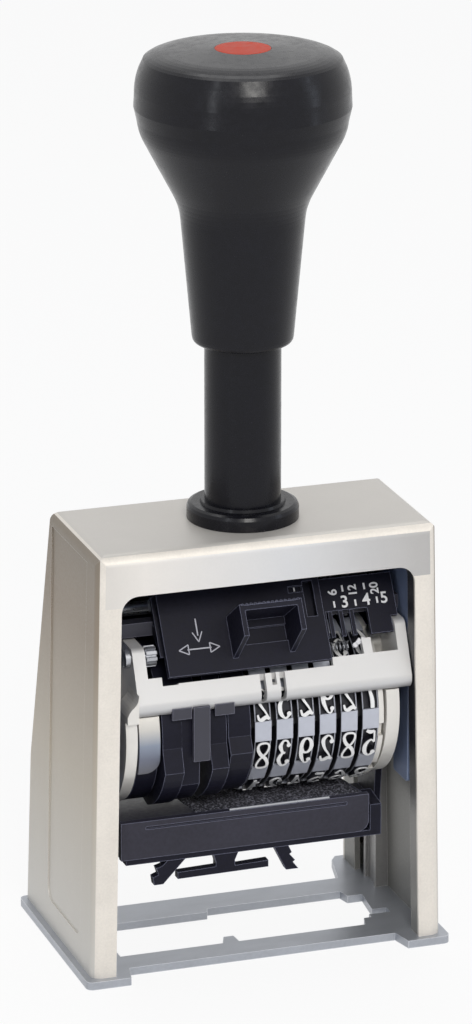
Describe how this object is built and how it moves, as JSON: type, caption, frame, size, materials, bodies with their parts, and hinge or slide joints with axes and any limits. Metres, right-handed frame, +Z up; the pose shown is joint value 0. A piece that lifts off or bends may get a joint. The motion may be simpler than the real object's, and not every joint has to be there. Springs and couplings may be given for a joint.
{
  "type": "numbering machine",
  "caption": "Self-inking hand numbering machine: a sprung palm knob drives a carriage of type wheels down through an open metal housing while an ink pad swings clear.",
  "frame": {"origin": "centre of the footprint, on the underside of the foot plate", "axes": "+Z up along the press axis, -Y towards the front window, +X to the right seen from the front"},
  "size_m": [0.0654, 0.0436, 0.1572],
  "materials": {
    "nickel": "satin nickel plate",
    "foot_steel": "satin, blue-grey",
    "black_metal": "satin black enamel",
    "grip_black": "satin-gloss black",
    "inlay_red": "satin red",
    "blued_steel": "satin blued",
    "bright_steel": "polished",
    "steel": "satin",
    "dark_steel": "satin blackened",
    "black_plastic": "satin moulded, bluish black",
    "ink_foam": "open-pore foam"
  },
  "bodies": {
    "housing": {"housing_shell": "nickel", "base_plate": "foot_steel", "base_rivets": "steel", "guide_column": "black_metal", "column_nut": "steel", "guide_channel_left": "dark_steel", "guide_channel_right": "dark_steel", "return_spring": "steel"},
    "carriage": {"handle_grip": "grip_black", "handle_inlay": "inlay_red", "press_rod": "steel", "rod_nut": "steel", "yoke": "blued_steel", "guide_shoe_left": "bright_steel", "guide_shoe_right": "bright_steel", "side_disc_left": "bright_steel", "side_disc_right": "bright_steel", "front_bracket": "bright_steel", "bracket_screws": "steel", "drum_cover": "bright_steel", "drum_core": "black_plastic", "wheel_shaft": "steel", "shaft_rings": "steel", "tie_bar": "steel", "detent_bar": "dark_steel", "detent_springs": "steel", "scale_plate": "black_plastic", "finger_stop": "dark_steel", "index_spring": "steel", "pawl_shaft": "steel", "selector_rail": "steel"},
    "pinion": {"setting_pinion": "steel", "pivot_screw": "steel"},
    "repeat_cams": {"repeat_cam_1": "black_plastic", "repeat_cam_2": "black_plastic", "repeat_cam_3": "black_plastic"},
    "drive_ratchet": {"drive_ratchet": "bright_steel"},
    "type_wheel_1": {"type_wheel_1": "bright_steel"},
    "type_wheel_2": {"type_wheel_2": "bright_steel"},
    "type_wheel_3": {"type_wheel_3": "bright_steel"},
    "type_wheel_4": {"type_wheel_4": "bright_steel"},
    "type_wheel_5": {"type_wheel_5": "bright_steel"},
    "type_wheel_6": {"type_wheel_6": "bright_steel"},
    "pawls": {"pawl_comb": "steel", "pawl_spring": "steel"},
    "selector": {"selector_cover": "black_plastic"},
    "pad": {"pad_holder": "black_plastic", "pad_arm_left": "black_plastic", "pad_arm_right": "black_plastic", "pad_cassette": "black_plastic", "cassette_clip": "black_plastic", "ink_pad": "ink_foam"}
  },
  "joints": [
    {"name": "handle_press", "type": "slide", "parent": "housing", "child": "carriage", "axis": [0, 0, -1], "range_m": [0, 0.0265], "stiffness_N_per_m": 400, "springref_m": -0.02, "deforming": ["return_spring"]},
    {"name": "pad_swing", "type": "hinge", "parent": "carriage", "child": "pad", "pos_m": [0, -0.00077, 0.0416], "axis": [1, 0, 0], "range_deg": [0, 135]},
    {"name": "cam_rock", "type": "hinge", "parent": "carriage", "child": "repeat_cams", "pos_m": [0, -0.00077, 0.0416], "axis": [1, 0, 0], "range_deg": [0, 6]},
    {"name": "ratchet_turn", "type": "hinge", "parent": "carriage", "child": "drive_ratchet", "pos_m": [0, -0.00077, 0.0416], "axis": [1, 0, 0], "range_deg": [0, 18]},
    {"name": "wheel_turn_1", "type": "hinge", "parent": "carriage", "child": "type_wheel_1", "pos_m": [0, -0.00077, 0.0416], "axis": [1, 0, 0], "continuous": true},
    {"name": "wheel_turn_2", "type": "hinge", "parent": "carriage", "child": "type_wheel_2", "pos_m": [0, -0.00077, 0.0416], "axis": [1, 0, 0], "continuous": true},
    {"name": "wheel_turn_3", "type": "hinge", "parent": "carriage", "child": "type_wheel_3", "pos_m": [0, -0.00077, 0.0416], "axis": [1, 0, 0], "continuous": true},
    {"name": "wheel_turn_4", "type": "hinge", "parent": "carriage", "child": "type_wheel_4", "pos_m": [0, -0.00077, 0.0416], "axis": [1, 0, 0], "continuous": true},
    {"name": "wheel_turn_5", "type": "hinge", "parent": "carriage", "child": "type_wheel_5", "pos_m": [0, -0.00077, 0.0416], "axis": [1, 0, 0], "continuous": true},
    {"name": "wheel_turn_6", "type": "hinge", "parent": "carriage", "child": "type_wheel_6", "pos_m": [0, -0.00077, 0.0416], "axis": [1, 0, 0], "continuous": true},
    {"name": "pawl_rock", "type": "hinge", "parent": "carriage", "child": "pawls", "pos_m": [0, 0.00073, 0.0602], "axis": [1, 0, 0], "range_deg": [-8, 0]},
    {"name": "pinion_turn", "type": "hinge", "parent": "carriage", "child": "pinion", "pos_m": [0, -0.01158, 0.056], "axis": [1, 0, 0], "continuous": true},
    {"name": "selector_slide", "type": "slide", "parent": "carriage", "child": "selector", "axis": [1, 0, 0], "range_m": [0, 0.0114]}
  ],
  "couplings": [
    {"joint": "pad_swing", "follows": "handle_press", "rad_per_m": 88.9},
    {"joint": "cam_rock", "follows": "handle_press", "rad_per_m": 3.9},
    {"joint": "ratchet_turn", "follows": "handle_press", "rad_per_m": 11.85},
    {"joint": "pawl_rock", "follows": "handle_press", "rad_per_m": -5.26}
  ]
}
